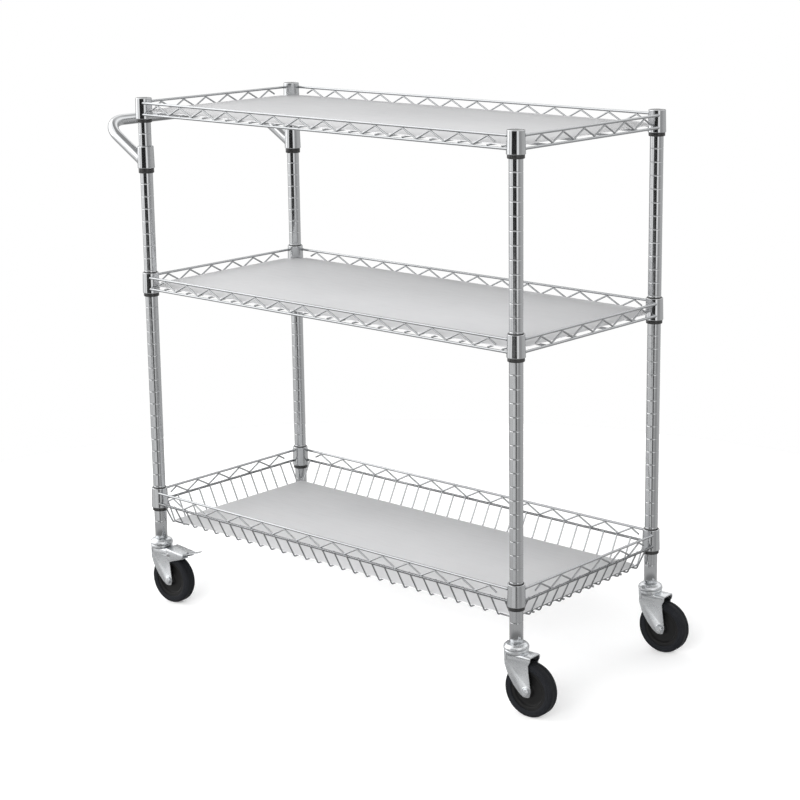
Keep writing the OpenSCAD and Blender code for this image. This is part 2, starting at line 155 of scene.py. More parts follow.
def chrome(name, tone, low, high, grain):
    """Bright plating: nearly a mirror, a little wavy, with faint smears and specks."""
    mat, tree, shader = material(name)
    shader.inputs["Metallic"].default_value = 1.0
    where = coordinates(tree)
    smear = noise(tree, coordinates(tree, (14, 14, 3)), 2.5, 4, 0.6)
    speck = noise(tree, where, 900, 2)
    dull = mixed(tree, speck, ramp(tree, smear, [(0.3, low), (0.75, high)]), even(high * 1.4))
    link(tree, ramp(tree, smear, [(0.25, tone), (0.8, tuple(c * 0.9 for c in tone))]), shader, "Base Color")
    keep = mixed(tree, 0.25, ramp(tree, smear, [(0.3, low), (0.75, high)]), dull)
    link(tree, keep, shader, "Roughness")
    wave = bump(tree, shader, noise(tree, where, 45, 2), 0.10, 0.0012)
    bump(tree, shader, noise(tree, where, grain, 3), 0.08, 0.00006, wave)
    return mat


def zinc_plate():
    """Pressed and zinc plated sheet: cool grey, clouded, with a fine tooth."""
    mat, tree, shader = material("zinc")
    shader.inputs["Metallic"].default_value = 1.0
    cloud = noise(tree, coordinates(tree), 70, 5, 0.6)
    fine = noise(tree, coordinates(tree), 700, 3)
    colour = ramp(tree, cloud, [(0.3, (0.66, 0.685, 0.71)), (0.55, (0.76, 0.78, 0.80)),
                                (0.8, (0.83, 0.845, 0.86))])
    link(tree, mixed(tree, 0.25, colour, ramp(tree, fine, [(0.3, 0.45), (0.7, 0.72)])), shader, "Base Color")
    link(tree, ramp(tree, cloud, [(0.3, 0.22), (0.8, 0.36)]), shader, "Roughness")
    soft = bump(tree, shader, cloud, 0.12, 0.0008)
    bump(tree, shader, fine, 0.15, 0.00008, soft)
    return mat


def liner_sheet():
    """Light grey plastic sheet with a fine pebbled face, faint scuffs and a little dust."""
    mat, tree, shader = material("liner")
    where = coordinates(tree)
    broad = noise(tree, where, 5, 3)
    scuff = noise(tree, coordinates(tree, (6, 90, 6)), 3.5, 5, 0.7)
    grey = ramp(tree, broad, [(0.3, (0.500, 0.502, 0.510)), (0.7, (0.530, 0.531, 0.537))])
    marks = ramp(tree, scuff, [(0.56, 1.0), (0.70, 0.955)])
    link(tree, mixed(tree, 1.0, grey, marks, "MULTIPLY"), shader, "Base Color")
    link(tree, ramp(tree, scuff, [(0.35, 0.42), (0.7, 0.58)]), shader, "Roughness")
    shader.inputs["Specular IOR Level"].default_value = 0.35
    bump(tree, shader, noise(tree, where, 1300, 2), 0.22, 0.00010)
    return mat


def moulded(name, tone, low, high, grain, shine=0.5):
    """Black moulded plastic with a fine satin grain."""
    mat, tree, shader = material(name)
    where = coordinates(tree)
    cloud = noise(tree, where, 60, 4)
    link(tree, ramp(tree, cloud, [(0.3, tone), (0.75, tone * 1.7)]), shader, "Base Color")
    link(tree, ramp(tree, cloud, [(0.3, low), (0.75, high)]), shader, "Roughness")
    shader.inputs["Specular IOR Level"].default_value = shine
    bump(tree, shader, noise(tree, where, grain, 2), 0.18, 0.0001)
    return mat


def tread_rubber():
    """Hard black rubber: matt, clouded in tone and shine, with a trace of floor dust."""
    mat, tree, shader = material("tyre")
    where = coordinates(tree)
    cloud = noise(tree, where, 55, 5, 0.65)
    specks = noise(tree, where, 1100, 2)
    base = ramp(tree, cloud, [(0.3, (0.0055, 0.006, 0.0075)), (0.75, (0.009, 0.010, 0.012))])
    dust = ramp(tree, specks, [(0.60, 0.0), (0.72, 0.5)])
    link(tree, mixed(tree, dust, base, (0.055, 0.055, 0.056, 1)), shader, "Base Color")
    link(tree, ramp(tree, cloud, [(0.3, 0.50), (0.75, 0.72)]), shader, "Roughness")
    shader.inputs["Specular IOR Level"].default_value = 0.13
    bump(tree, shader, specks, 0.25, 0.00012)
    return mat


CHROME_TUBE = chrome("chrome_tube", (0.61, 0.62, 0.63), 0.06, 0.14, 1500)
CHROME_WIRE = chrome("chrome_wire", (0.48, 0.49, 0.50), 0.12, 0.24, 1900)
STEEL = chrome("bright_steel", (0.60, 0.60, 0.61), 0.22, 0.34, 1500)
ZINC = zinc_plate()
LINER = liner_sheet()
SLEEVE = moulded("sleeve_plastic", 0.010, 0.22, 0.36, 1500)
CORE = moulded("wheel_core", 0.0045, 0.40, 0.55, 1200, shine=0.2)
TYRE = tread_rubber()


# ---- mesh building ----

def millimetres(points):
    return [tuple(c * MM for c in p) for p in points]


def rounded(points, radius, steps=4, closed=False, hold=0.0):
    """The same line or outline, in two or three dimensions, with an arc at each corner.
    radius is one number, or one for each point. hold adds a point this far before and after
    each arc, which keeps the shading of the straight parts straight."""
    points = [Vector(p) for p in points]
    radii = radius if hasattr(radius, "__len__") else [radius] * len(points)
    made = []
    for i, here in enumerate(points):
        ends = i in (0, len(points) - 1) and not closed
        before, after = points[i - 1], points[(i + 1) % len(points)]
        into, out = (here - before), (after - here)
        if ends or radii[i] <= 0 or into.length == 0 or out.length == 0:
            made.append(here)
            continue
        into, out = into.normalized(), out.normalized()
        turn = into.angle(out)
        if turn < 0.01:
            made.append(here)
            continue
        reach = radii[i] * math.tan(turn / 2)
        a, b = here - into * reach, here + out * reach
        heart = (a + b) / 2
        centre = here + (heart - here).normalized() * (radii[i] / math.cos(turn / 2))
        if hold and (here - before).length > reach + 3 * hold:
            made.append(a - into * hold)
        for k in range(steps + 1):
            way = (a - centre).lerp(b - centre, k / steps)
            if 0 < k < steps:
                t = k / steps
                s = math.sin(turn)
                way = (a - centre) * (math.sin((1 - t) * turn) / s) + (b - centre) * (math.sin(t * turn) / s)
            made.append(centre + way)
        if hold and (after - here).length > reach + 3 * hold:
            made.append(b + out * hold)
    return made


class Shape:
    """Gathers vertices and faces from swept and turned parts, and makes one mesh of them."""

    def __init__(self):
        self.verts = []
        self.faces = []

    def rings(self, rings, closed=False, caps=True):
        """Joins rings of equally many points; closed also joins the last ring to the first."""
        start, size = len(self.verts), len(rings[0])
        for ring in rings:
            self.verts.extend(tuple(p) for p in ring)
        pairs = len(rings) if closed else len(rings) - 1
        for i in range(pairs):
            a, b = start + i * size, start + ((i + 1) % len(rings)) * size
            for k in range(size):
                n = (k + 1) % size
                self.faces.append((a + k, a + n, b + n, b + k))
        if caps and not closed:
            self.faces.append(tuple(range(start, start + size))[::-1])
            last = start + (len(rings) - 1) * size
            self.faces.append(tuple(range(last, last + size)))

    def tube(self, path, radius, sides=14, bevel=0.0, fit=None, closed=False):
        """A round bar or tube along a path of points. Its ends are bevelled, or moved point by
        point by the function fit."""
        path = [Vector(p) for p in path]
        count = len(path)
        ways = []
        for i in range(count):
            if closed:
                way = path[(i + 1) % count] - path[i - 1]
            else:
                way = path[min(i + 1, count - 1)] - path[max(i - 1, 0)]
            ways.append(way.normalized())
        side = ways[0].orthogonal().normalized()
        rings = []
        for i, way in enumerate(ways):
            side = (side - way * side.dot(way)).normalized()
            other = way.cross(side)
            radii = [(0.0, radius)]
            if bevel and not closed and i == 0:
                radii = [(0.0, radius - bevel), (bevel, radius)]
            elif bevel and not closed and i == count - 1:
                radii = [(-bevel, radius), (0.0, radius - bevel)]
            for shift, r in radii:
                rings.append([path[i] + way * shift + (side * math.cos(a) + other * math.sin(a)) * r
                              for a in (2 * math.pi * k / sides for k in range(sides))])
        if fit:
            for end in (0, -1):
                rings[end] = [fit(p) for p in rings[end]]
        self.rings(rings, closed)

    def turned(self, profile, segments=64, at=(0, 0, 0), axis="Z", arc=None, loop=False):
        """A profile of (radius, height) turned about an axis through a point. loop says that the
        profile is an outline, and not a line that starts and ends on the axis."""
        at = Vector(at)
        lift = {"Z": Matrix.Identity(3), "Y": Matrix.Rotation(math.radians(90), 3, "X"),
                "X": Matrix.Rotation(math.radians(90), 3, "Y")}[axis]
        low, high = arc or (0.0, 2 * math.pi)
        steps = segments if arc is None else segments + 1
        rings = []
        for i in range(steps):
            a = low + (high - low) * i / segments
            rings.append([at + lift @ Vector((r * math.cos(a), r * math.sin(a), h)) for r, h in profile])
        if loop:
            self.rings(rings, closed=arc is None)
            return
        start, size = len(self.verts), len(profile)
        for ring in rings:
            self.verts.extend(tuple(p) for p in ring)
        for i in range(segments):
            a, b = start + i * size, start + ((i + 1) % steps) * size
            self.faces.extend((a + k, a + k + 1, b + k + 1, b + k) for k in range(size - 1))

    def prism(self, outline, low, high, place=lambda x, y, h: (x, y, h)):
        """An outline pulled straight from low to high."""
        self.rings([[place(x, y, h) for x, y in outline] for h in (low, high)])

    def blob(self, at, size, way=(1, 0, 0)):
        """A weld: a small flattened bead."""
        turn = Vector((1, 0, 0)).rotation_difference(Vector(way).normalized()).to_matrix()
        across, along = 8, 4
        rows = []
        for i in range(along + 1):
            lat = math.pi * i / along
            rows.append([(math.sin(lat) * math.cos(a), math.sin(lat) * math.sin(a), math.cos(lat))
                         for a in (2 * math.pi * k / across for k in range(across))])
        self.rings([[Vector(at) + turn @ Vector((x * size[0], y * size[1], z * size[2])) for x, y, z in row]
                    for row in rows], caps=False)

    def mesh(self, name, sharp=38):
        bm = bmesh.new()
        made = [bm.verts.new(v) for v in self.verts]
        for face in self.faces:
            try:
                bm.faces.new([made[i] for i in face])
            except ValueError:
                pass
        bmesh.ops.remove_doubles(bm, verts=bm.verts, dist=1e-7)
        bmesh.ops.dissolve_degenerate(bm, dist=1e-8, edges=bm.edges)
        bmesh.ops.recalc_face_normals(bm, faces=bm.faces)
        mesh = bpy.data.meshes.new(name)
        bm.to_mesh(mesh)
        bm.free()
        smooth(mesh, sharp)
        return mesh


def smooth(mesh, sharp=38):
    for face in mesh.polygons:
        face.use_smooth = True
    mesh.set_sharp_from_angle(angle=math.radians(sharp))


def place(name, mesh, mat, slot, body="frame", stands_for=(), matrix=None):
    """Puts a mesh in the scene on its body, standing for CAD nodes; matrix moves a copy of it."""
    if matrix is not None:
        mesh = mesh.copy()
        mesh.transform(matrix)
        mesh.name = name
    if not mesh.materials:
        mesh.materials.append(mat)
    obj = bpy.data.objects.new(name, mesh)
    bpy.context.scene.collection.objects.link(obj)
    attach(obj, body)
    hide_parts(*stands_for)
    return obj


# ---- posts and caps ----

POST_R = 12.7 * MM
POST_WALL = 1.2 * MM
GROOVE_STEP = 25.4 * MM
FIRST_GROOVE = 20.6 * MM      # below the top
# One groove: height from its middle, and depth; the outer points keep the shading straight
GROOVE = ((-1.6, 0), (-1.2, 0), (-0.9, 0.05), (-0.5, 0.25), (0, 0.34), (0.5, 0.25), (0.9, 0.05), (1.2, 0),
          (1.6, 0))


def post_profile(foot, top):
    """Outside of a post from foot to top with a ring of rolled grooves, then its bore."""
    outside = [(POST_R - 0.4 * MM, foot), (POST_R, foot + 0.4 * MM)]
    grooves = []
    z = TOP - FIRST_GROOVE
    while z > foot + 20 * MM:
        grooves.append(z)
        z -= GROOVE_STEP
    for z in reversed(grooves):
        for dz, depth in GROOVE:
            outside.append((POST_R - depth * MM, z + dz * MM))
    outside += [(POST_R, top - 0.2 * MM), (POST_R - 0.2 * MM, top)]
    bore = POST_R - POST_WALL
    return outside + [(bore, top), (bore, foot)]


for p in PLACES:
    post = Shape()
    post.turned(post_profile(POST_FOOT, TOP - 1.5 * MM), 64, (POSTS[p].x, POSTS[p].y, 0), loop=True)
    tube_name = p + "_post_tube"
    place(tube_name, post.mesh(tube_name, 50), CHROME_TUBE, "chrome_tube", "frame", [p + "_post"])

caps = Shape()
for at in POSTS.values():
    rim = rounded([(0, 0), (10.6, -0.1), (12.7, -0.5), (12.7, -1.45), (10.5, -1.45), (10.5, -9), (0, -9)],
                  [0, 4, 0.7, 0, 0, 0, 0])
    caps.turned(millimetres(rim), 64, (at.x, at.y, TOP))
place("post_end_caps", caps.mesh("post_end_caps"), CHROME_TUBE, "chrome_tube", "frame", ["post_caps"])


# ---- collars and split sleeves ----

SHELF_COLLAR = 42        # heights in millimetres, like all of these outlines
HANDLE_COLLAR = 44
SHELF_SLEEVE_RIM = 7
HANDLE_SLEEVE_RIM = 10
SUNK = -0.3              # where a sleeve ends: under the collar's top, or above it
PROUD = 1.8


def collar_outline(height):
    return rounded([(14.0, 0), (16.2, 0), (17.2, -height), (15.2, -height)], [0.2, 0.9, 0.9, 0.2], 3,
                   closed=True, hold=0.5)


def sleeve_outline(height, rim, lip):
    low = -height - rim
    return rounded([(12.72, lip), (12.72, low), (15.6, low), (15.6, -height - 0.1), (15.1, -height - 0.1),
                    (13.92, lip)], [0, 0.4, 1.0, 0.5, 0, 0.4], 3, closed=True)


def add_collars(name, corners, top, height, stands_for):
    ring = Shape()
    for p in corners:
        ring.turned(millimetres(collar_outline(height)), 64, (POSTS[p].x, POSTS[p].y, top), loop=True)
    return place(name, ring.mesh(name), CHROME_TUBE, "chrome_tube", "frame", stands_for)


def add_sleeves(name, corners, top, height, rim, lip, stands_for):
    halves = Shape()
    slit = math.asin(0.4 / 14)
    outline = millimetres(sleeve_outline(height, rim, lip))
    for p in corners:
        for start in (-math.pi / 2, math.pi / 2):
            halves.turned(outline, 32, (POSTS[p].x, POSTS[p].y, top),
                          arc=(start + slit, start + math.pi - slit), loop=True)
    return place(name, halves.mesh(name), SLEEVE, "sleeve_plastic", "frame", stands_for)


for shelf, lip in (("top", SUNK), ("middle", PROUD), ("basket", PROUD)):
    add_collars(shelf + "_corner_collars", PLACES, LEVELS[shelf], SHELF_COLLAR, [shelf + "_collars"])
    add_sleeves(shelf + "_split_sleeves", PLACES, LEVELS[shelf], SHELF_COLLAR, SHELF_SLEEVE_RIM, lip,
                [shelf + "_sleeves"])
LEFT = ("front_left", "back_left")
add_collars("handle_clamp_collars", LEFT, HANDLE_TOP, HANDLE_COLLAR, ["handle_collars"])
add_sleeves("handle_split_sleeves", LEFT, HANDLE_TOP, HANDLE_COLLAR, HANDLE_SLEEVE_RIM, SUNK,
            ["handle_sleeves"])


# ---- rims ----

RIM_R = 2.5 * MM
ZIGZAG_R = 1.7 * MM
WIRE_R = 1.6 * MM
SUPPORT_R = 2.2 * MM
RIM_END = 10.4 * MM           # from a post axis to where the rim wires end, inside the collar's wall
UNDER = 3.4 * MM              # from the middle of a cross wire down to the wire under it
WIRE_BEVEL = 0.4 * MM         # at the cut end of a wire
TOUCH = 3.1 * MM              # from the middle of a rim wire to the zigzag's bends
ZIGZAG_BEND = 5.5 * MM
STUB_RUN = 0.27               # how far the zigzag goes on past its last peak, in pitches,
STUB_FALL = 0.56              # and how much of its height it falls there
OVERHANG = 1.6 * MM           # of the cross wires past the middle of the rim wires


def side_frames():
    """Each side of the cart: how to place a point at x along it, y outward from its rim, z up,
    with its half length, zigzag peaks and pitch."""
    def put(turn, reach):
        spin = Matrix.Rotation(turn, 4, "Z")
        return lambda x, y, z: Vector((CENTRE.x, CENTRE.y, 0)) + spin @ Vector((x, -reach - y, z))
    long_side = (HALF_X, LONG_PEAKS, LONG_PITCH)
    short_side = (HALF_Y, SHORT_PEAKS, SHORT_PITCH)
    return [(put(0, HALF_Y + RIM), *long_side), (put(math.pi, HALF_Y + RIM), *long_side),
            (put(math.pi / 2, HALF_X + RIM), *short_side), (put(-math.pi / 2, HALF_X + RIM), *short_side)]


def add_rims(name, level, stands_for):
    """Two wires on each side, a bent wire that zigzags between them, and a weld at each touch."""
    wires = Shape()
    for put, half, peaks, pitch in side_frames():
        reach = half - RIM_END
        way = put(1, 0, 0) - put(0, 0, 0)
        for drop in (UPPER, LOWER):
            wires.tube([put(-reach, 0, level + drop), put(reach, 0, level + drop)], RIM_R, 18)
            for end in (-1, 1):
                wires.blob(put(end * (half - 12.4 * MM), -0.6 * MM, level + drop),
                           (2.6 * MM, 3.4 * MM, 3.5 * MM), way)
        high, low = level + UPPER - TOUCH, level + LOWER + TOUCH
        last = (peaks - 1) / 2 * pitch
        line = [(-last - STUB_RUN * pitch, high - STUB_FALL * (high - low))]
        for i in range(peaks):
            x = -last + i * pitch
            line.append((x, high))
            if i < peaks - 1:
                line.append((x + pitch / 2, low))
        line.append((last + STUB_RUN * pitch, high - STUB_FALL * (high - low)))
        wires.tube([put(x, 0, z) for x, z in rounded(line, ZIGZAG_BEND, 4)], ZIGZAG_R, 12, WIRE_BEVEL)
        for i in range(1, len(line) - 1):
            x, z = line[i]
            up = 1 if z == high else -1
            wires.blob(put(x, 0, z + up * 0.5 * MM), (3.2 * MM, 1.9 * MM, 1.2 * MM), way)
    return place(name, wires.mesh(name), CHROME_WIRE, "chrome_wire", "frame", stands_for)


for shelf in ("top", "middle", "basket"):
    add_rims(shelf + "_rims", LEVELS[shelf], [shelf + "_long_trusses", shelf + "_short_trusses"])


# ---- flat decks ----

LINER_T = 1.5 * MM
LINER_GAP = 0.05 * MM
SOFT = 0.35 * MM              # how far a liner's edges are rounded
FLAT_LINER_INSET = 6 * MM     # from the rims
FLAT_LINER_CUT = 36 * MM      # off each corner


def lengthwise(wires, z, reach):
    """The four wires that carry the cross wires."""
    for share in (-0.65, -0.22, 0.22, 0.65):
        y = CENTRE.y + share * HALF_Y
        wires.tube([(CENTRE.x - reach, y, z), (CENTRE.x + reach, y, z)], SUPPORT_R, 14, WIRE_BEVEL)


def add_deck(shelf):
    level = LEVELS[shelf]
    wires = Shape()
    reach = HALF_Y + RIM + OVERHANG
    for i in range(-LONG_PEAKS, LONG_PEAKS + 1):
        x = CENTRE.x + i * LONG_PITCH / 2
        wires.tube([(x, CENTRE.y - reach, level + DECK), (x, CENTRE.y + reach, level + DECK)], WIRE_R, 12,
                   WIRE_BEVEL)
    lengthwise(wires, level + DECK - UNDER, HALF_X + RIM - 1.2 * MM)
    name = shelf + "_deck_wires"
    place(name, wires.mesh(name), CHROME_WIRE, "chrome_wire", "frame", [shelf + "_deck"])


def add_liner(shelf, x, y, cut, drop):
    """A sheet with cut corners and softened edges, lying on the wires."""
    low = LEVELS[shelf] + drop + WIRE_R + LINER_GAP
    outline = rounded([(-x + cut, -y), (x - cut, -y), (x, -y + cut), (x, y - cut),
                       (x - cut, y), (-x + cut, y), (-x, y - cut), (-x, -y + cut)], 3 * MM, 3, closed=True)
    heart = [(px * (1 - SOFT / x), py * (1 - SOFT / y)) for px, py in outline]
    levels = ((heart, 0.0), (outline, SOFT), (outline, 1.15 * MM), (heart, LINER_T))
    sheet = Shape()
    sheet.rings([[(CENTRE.x + px, CENTRE.y + py, low + z) for px, py in line] for line, z in levels])
    name = shelf + "_liner_sheet"
    place(name, sheet.mesh(name), LINER, "liner", "frame", [shelf + "_liner"])


for shelf in ("top", "middle"):
    add_deck(shelf)
    add_liner(shelf, HALF_X + RIM - FLAT_LINER_INSET, HALF_Y + RIM - FLAT_LINER_INSET, FLAT_LINER_CUT, DECK)


# ---- basket ----

LEAN = 26 * MM
FOOT_X = HALF_X + RIM - LEAN
FOOT_Y = HALF_Y + RIM - LEAN
FLOOR = -75 * MM
END_FLOOR = FLOOR - 3.0 * MM
BASKET_BEND = 5 * MM
BASKET_LINER_INSET = 5 * MM
BASKET_LINER_CUT = 6 * MM


def add_basket():
    """Each cross wire is one length: down the front, over the floor and up the back. The end
    wires come down the ends and run in under the last two cross wires."""
    level = LEVELS["basket"]
    inside = 3.0 * MM      # the wires are welded to the inside of the lower rim wire
    top = level + LOWER + 1.6 * MM
    wires = Shape()
    for put, half, _, _ in side_frames():
        reach = half - RIM_END
        wires.tube([put(-reach, 0, level + LOWER), put(reach, 0, level + LOWER)], RIM_R, 18)
    y0, y1 = HALF_Y + RIM - inside, FOOT_Y
    for i in range(-LONG_PEAKS, LONG_PEAKS + 1):
        x = CENTRE.x + i * LONG_PITCH / 2
        line = [(-y0, top), (-y1, level + FLOOR), (y1, level + FLOOR), (y0, top)]
        path = rounded([(x, CENTRE.y + y, z) for y, z in line], BASKET_BEND, 5)
        wires.tube(path, WIRE_R, 12, WIRE_BEVEL)
        for end in (-1, 1):
            wires.blob((x, CENTRE.y + end * (y0 + 1.4 * MM), level + LOWER + 0.3 * MM),
                       (2.2 * MM, 1.6 * MM, 2.2 * MM))
    x0, x1 = HALF_X + RIM - inside, FOOT_X
    inner = (LONG_PEAKS - 1) * LONG_PITCH / 2 - 4 * MM
    for i in range(-SHORT_PEAKS, SHORT_PEAKS + 1):
        y = CENTRE.y + i * SHORT_PITCH / 2
        for end in (-1, 1):
            line = [(x0, top), (x1, level + END_FLOOR), (inner, level + END_FLOOR)]
            path = rounded([(CENTRE.x + end * x, y, z) for x, z in line], BASKET_BEND, 5)
            wires.tube(path, WIRE_R, 12, WIRE_BEVEL)
            wires.blob((CENTRE.x + end * (x0 + 1.4 * MM), y, level + LOWER + 0.3 * MM),
                       (1.6 * MM, 2.2 * MM, 2.2 * MM))
    lengthwise(wires, level + FLOOR - UNDER, FOOT_X - 2 * MM)
    place("basket_wires", wires.mesh("basket_wires"), CHROME_WIRE, "chrome_wire", "frame",
          ["basket_long_sides", "basket_short_sides", "basket_deck"])
    add_liner("basket", FOOT_X - BASKET_LINER_INSET, FOOT_Y - BASKET_LINER_INSET, BASKET_LINER_CUT, FLOOR)


add_basket()


# ---- handle ----

HANDLE_TILT = math.radians(31.2)
HANDLE_R = 11 * MM
HANDLE_REACH = 128 * MM       # level, from the post axes to the middle of the bar
HANDLE_BEND = 52 * MM
HANDLE_DROP = 134 * MM        # from the post caps down to where the arms meet the posts


def add_handle():
    """A bent tube in a tilted plane, each end cut to a collar and welded to it all round."""
    reach = HANDLE_REACH / math.cos(HANDLE_TILT)
    pivot = Vector((CENTRE.x - HALF_X, CENTRE.y, TOP - HANDLE_DROP))
    spin = Matrix.Rotation(HANDLE_TILT, 3, "Y")
    flat = [(0, -HALF_Y), (-reach, -HALF_Y), (-reach, HALF_Y), (0, HALF_Y)]
    path = [pivot + spin @ Vector((x, y, 0)) for x, y in rounded(flat, [0, HANDLE_BEND, HANDLE_BEND, 0], 18)]
    arm = spin @ Vector((-1, 0, 0))

    def to_collar(p, reach_r=15 * MM):
        """Slides a point along its arm to a cylinder about the post."""
        side = p.y - (CENTRE.y + math.copysign(HALF_Y, p.y - CENTRE.y))
        out = math.sqrt(reach_r ** 2 - side ** 2)
        return p + arm * ((p.x - (pivot.x - out)) / -arm.x)

    tube = Shape()
    tube.tube(path, HANDLE_R, 48, fit=to_collar)
    for end in (-1, 1):
        seam = []
        for k in range(40):
            a = 2 * math.pi * k / 40
            off = spin @ Vector((0, math.cos(a), math.sin(a))) * (HANDLE_R + 0.2 * MM)
            seam.append(to_collar(pivot + Vector((0, end * HALF_Y, 0)) + off, 16.7 * MM))
        tube.tube(seam, 1.2 * MM, 10, closed=True)
    place("push_handle", tube.mesh("push_handle", 60), CHROME_TUBE, "chrome_tube", "frame", ["handle_tube"])


add_handle()


# ---- casters, drawn with the swivel axis on Z and the trail along +X ----

def body_from(shape, name):
    obj = bpy.data.objects.new(name, shape.mesh(name))
    bpy.context.scene.collection.objects.link(obj)
    return obj


def combine(obj, others, how):
    """Exact boolean of obj with each of the others, which are then gone."""
    for other in others:
        step = obj.modifiers.new(how, "BOOLEAN")
        step.operation = how
        step.solver = "EXACT"
        step.object = other
        settle(obj)
        bpy.data.objects.remove(other)
    return obj


def settle(obj):
    """Applies an object's modifiers to its mesh."""
    graph = bpy.context.evaluated_depsgraph_get()
    mesh = bpy.data.meshes.new_from_object(obj.evaluated_get(graph))
    obj.modifiers.clear()
    obj.data = mesh


def soften(obj, width, name, segments=2, sharp=35):
    """Rounds the edges and hands back the finished mesh; the object itself is removed."""
    edge = obj.modifiers.new("edge", "BEVEL")
    edge.width = width
    edge.segments = segments
    edge.limit_method = "ANGLE"
    edge.angle_limit = math.radians(sharp)
    edge.use_clamp_overlap = True
    settle(obj)
    mesh = obj.data
    mesh.name = name
    bpy.data.objects.remove(obj)
    smooth(mesh, sharp)
    return mesh


def side_cut(outline, half_width, name):
    """A side view outline, in x and z, pulled across the caster."""
    cut = Shape()
    cut.prism(millimetres(outline), -half_width * MM, half_width * MM, lambda x, z, h: (x, h, z))
    return body_from(cut, name)


def cross_hole(radius, segments, at):
    """A pin across the caster to cut away."""
    pin = Shape()
    pin.turned(millimetres([(0, -30), (radius, -30), (radius, 30), (0, 30)]), segments, at, "Y")
    return body_from(pin, "cross_hole")


# In millimetres, like the outlines below
LEG_IN = 14.5
LEG_OUT = 17.0
CROWN = 116.0


def make_fork(braked):
    """A stamped fork: flat legs folded down from a crown with a round front, and the ball race
    standing on it."""
    fold = rounded([(-LEG_OUT, 34), (-LEG_OUT, CROWN), (LEG_OUT, CROWN), (LEG_OUT, 34)],
                   [0, 4.5, 4.5, 0], 5)
    inner = rounded([(LEG_IN, 34), (LEG_IN, CROWN - 2.5), (-LEG_IN, CROWN - 2.5), (-LEG_IN, 34)],
                    [0, 2.2, 2.2, 0], 5)
    channel = Shape()
    channel.prism(millimetres([*fold, *inner]), -30 * MM, 60 * MM, lambda y, z, h: (h, y, z))
    fork = body_from(channel, "fork_channel")
    side = rounded([(-23, 118), (-21.5, 112), (-17, 101), (-7.5, 77), (4.5, 59), (17.5, 45.5), (26.5, 39.6),
                    (39.5, 39.6), (42.4, 52), (37.5, 88), (36.5, 100), (40, 107), (40, 118)],
                   [0, 8, 12, 30, 20, 12, 6, 6, 10, 20, 4, 3, 0], 5)
    plan = Shape()
    front = [(22.2 * math.cos(a), 22.2 * math.sin(a)) for a in
             (math.radians(50 + 260 * k / 40) for k in range(41))]
    plan.prism(millimetres([*front, (44, -17.5), (44, 17.5)]), 30 * MM, 120 * MM)
    combine(fork, [side_cut(side, 22, "fork_side"), body_from(plan, "fork_plan")], "INTERSECT")

    apron = Shape()
    edge = rounded([(19.4, 104), (21.6, 104), (22.4, 110), (22.4, CROWN - 0.5), (19.4, CROWN - 0.5)],
                   [0.8, 0.8, 3, 0, 0], 3, closed=True)
    apron.turned(millimetres(edge), 48, arc=(math.radians(118), math.radians(242)), loop=True)
    race = Shape()
    section = rounded([(6.5, 114), (20.5, 114), (22.6, 116.5), (22.6, 121), (21.4, 122.4), (19.6, 122.6),
                       (18.2, 124.6), (6.5, 124.6)], [0, 1.5, 2, 1.2, 1, 0.8, 0.8, 0.3], 3, closed=True)
    race.turned(millimetres(section), 64, loop=True)
    bosses = Shape()
    for out in (-1, 1):
        bosses.turned([(r * MM, out * h * MM) for r, h in
                       ((0, LEG_IN + 0.4), (9.2, LEG_IN + 0.4), (9.2, LEG_OUT + 0.1), (7.6, LEG_OUT + 0.7),
                        (0, LEG_OUT + 0.7))], 40, AXLE_AT, "Y")
    combine(fork, [body_from(s, "fork_part") for s in (apron, race, bosses)], "UNION")
    bore = Shape()
    bore.turned(millimetres([(0, 100), (5.4, 100), (5.4, 130), (0, 130)]), 32)
    holes = [body_from(bore, "fork_bore"), cross_hole(4.02, 32, AXLE_AT)]
    if braked:
        holes.append(cross_hole(2.42, 24, BRAKE_PIN_AT))
    combine(fork, holes, "DIFFERENCE")
    return soften(fork, 0.45 * MM, "fork_braked" if braked else "fork_plain")


def hexagon(shape, radius, low, high, chamfer):
    """A hexagon along the axle from low to high, chamfered at its outer end, high."""
    shoulder = high - math.copysign(chamfer, high)
    profile = [(0, low), (radius, low), (radius, shoulder), (radius - chamfer, high), (0, high)]
    shape.turned(millimetres(profile), 6, AXLE_AT, "Y")


def make_axle():
    """A bolt with a head, a nut and a washer under each."""
    bolt = Shape()
    bolt.turned(millimetres([(0, -20.5), (3.98, -20.5), (3.98, 21.4), (3.3, 22.3), (0, 22.3)]), 32, AXLE_AT,
                "Y")
    for end in (-1, 1):
        bolt.turned(millimetres([(0, end * 17.72), (7.7, end * 17.72), (7.9, end * 18.0), (7.7, end * 18.7),
                                 (0, end * 18.7)]), 40, AXLE_AT, "Y")
    hexagon(bolt, 6.6, -18.7, -22.4, 0.7)
    hexagon(bolt, 6.9, 18.7, 21.6, 0.6)
    return bolt.mesh("axle_bolt", 30)


def mirrored(outline):
    """An outline of (radius, height) again on the other side, in the order that goes on from it."""
    return [(r, -h) for r, h in reversed(outline)]


